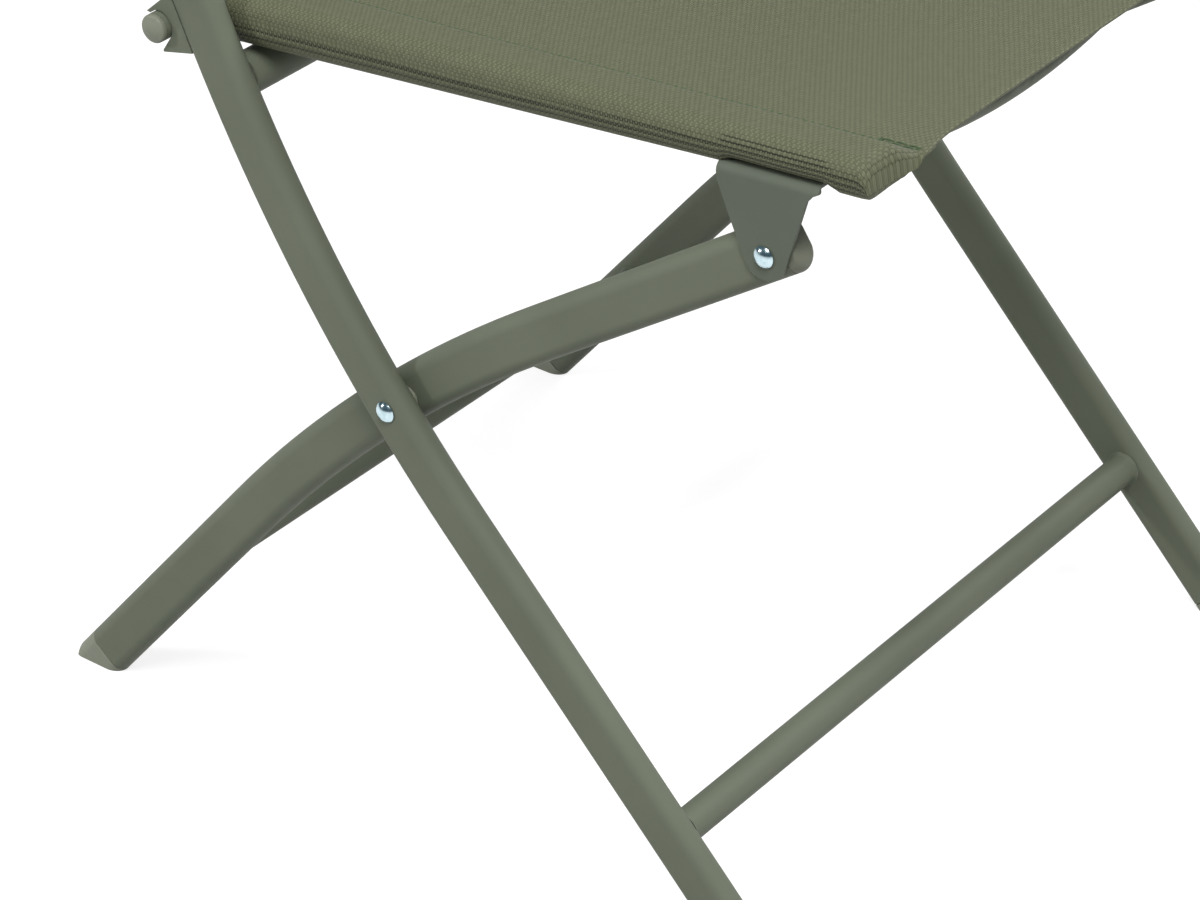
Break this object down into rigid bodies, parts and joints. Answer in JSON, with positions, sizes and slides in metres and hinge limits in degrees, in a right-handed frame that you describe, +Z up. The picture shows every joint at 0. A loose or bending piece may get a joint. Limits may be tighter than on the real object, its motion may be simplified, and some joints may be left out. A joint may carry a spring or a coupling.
{
  "type": "folding lawn chair",
  "caption": "Folding outdoor chair with crossed flat-oval tube legs, a stretched mesh seat and back, and a rear seat bar held in notched hook plates.",
  "frame": {"origin": "on the floor, under the middle of the opened chair's bounding box", "axes": "+Z up; the sitter faces -Y; +X is to the sitter's left"},
  "size_m": [0.458, 0.5814, 0.8586],
  "materials": {
    "paint": "fine-textured grey-olive powder coat",
    "cloth": "olive ribbed mesh of coated yarn",
    "plastic": "moulded olive plastic",
    "zinc": "bright zinc plate"
  },
  "bodies": {
    "back_frame": {"upright_right": "paint", "front_foot_right": "plastic", "hook_plate_right": "paint", "corner_bend_right": "paint", "upright_left": "paint", "front_foot_left": "plastic", "hook_plate_left": "paint", "corner_bend_left": "paint", "top_rail": "paint", "front_stretcher": "paint", "upper_stretcher": "paint", "back_sling": "cloth", "pivot_rivet_right": "zinc", "pivot_washer_right": "plastic", "pivot_rivet_left": "zinc", "pivot_washer_left": "plastic"},
    "leg_frame": {"rear_leg_right": "paint", "rear_foot_right": "plastic", "leg_plug_right": "plastic", "hinge_rivet_right": "zinc", "rear_leg_left": "paint", "rear_foot_left": "plastic", "leg_plug_left": "plastic", "hinge_rivet_left": "zinc", "rear_stretcher": "paint"},
    "seat_frame": {"seat_rail_right": "paint", "rail_plug_right": "plastic", "seat_bracket_right": "paint", "bracket_rivet_right_1": "paint", "bracket_rivet_right_2": "paint", "sling_rivet_right": "paint", "bar_cap_right": "plastic", "seat_rail_left": "paint", "rail_plug_left": "plastic", "seat_bracket_left": "paint", "bracket_rivet_left_1": "paint", "bracket_rivet_left_2": "paint", "sling_rivet_left": "paint", "bar_cap_left": "plastic", "front_crossbar": "paint", "rear_bar": "paint", "seat_sling": "cloth"}
  },
  "joints": [
    {"name": "leg_fold", "type": "hinge", "parent": "back_frame", "child": "leg_frame", "pos_m": [0, -0.02253, 0.2618], "axis": [-1, 0, 0], "range_deg": [0, 78]},
    {"name": "seat_fold", "type": "hinge", "parent": "leg_frame", "child": "seat_frame", "pos_m": [0, -0.23653, 0.41635], "axis": [-1, 0, 0], "range_deg": [-7.8, 0]}
  ],
  "couplings": [
    {"joint": "seat_fold", "follows": "leg_fold", "ratio": -0.1}
  ]
}
